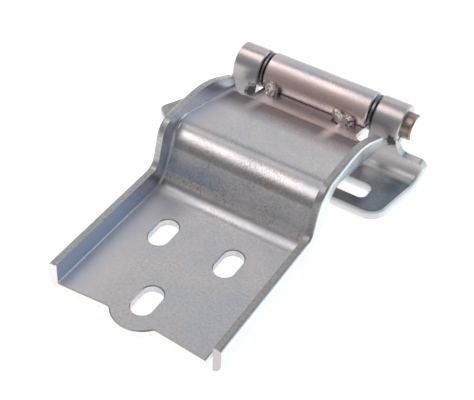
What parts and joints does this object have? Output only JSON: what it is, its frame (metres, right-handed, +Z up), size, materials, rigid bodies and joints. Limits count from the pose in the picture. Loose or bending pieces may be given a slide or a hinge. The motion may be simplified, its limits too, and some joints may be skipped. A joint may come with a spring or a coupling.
{
  "type": "vehicle door hinge",
  "caption": "Pressed steel door hinge: flanged, humped door leaf rolled into a barrel, turning on a headed pin between the knuckles of a winged body leaf with bolt slots.",
  "frame": {"origin": "on the door leaf's mounting face, midway between its front slot and its rear pair of slots", "axes": "+X along the hinge pin towards its head, +Y from the door leaf's front edge to the pin, +Z up from the mounting faces"},
  "size_m": [0.1214, 0.1585, 0.0339],
  "materials": {
    "plated_leaf": "satin zinc plate",
    "pin_steel": "satin zinc plate",
    "washer_steel": "dark satin",
    "bush_bronze": "plain",
    "weld_steel": "satin zinc plate"
  },
  "bodies": {
    "body_side": {"body_leaf": "plated_leaf", "hinge_pin": "pin_steel", "left_washer": "washer_steel", "right_washer": "washer_steel"},
    "door_side": {"door_leaf": "plated_leaf", "left_bush": "bush_bronze", "right_bush": "bush_bronze", "left_tack_weld": "weld_steel", "right_tack_weld": "weld_steel"}
  },
  "joints": [
    {"name": "door_swing", "type": "hinge", "parent": "body_side", "child": "door_side", "pos_m": [0, 0.117, 0.02], "axis": [-1, 0, 0], "range_deg": [0, 180]}
  ]
}
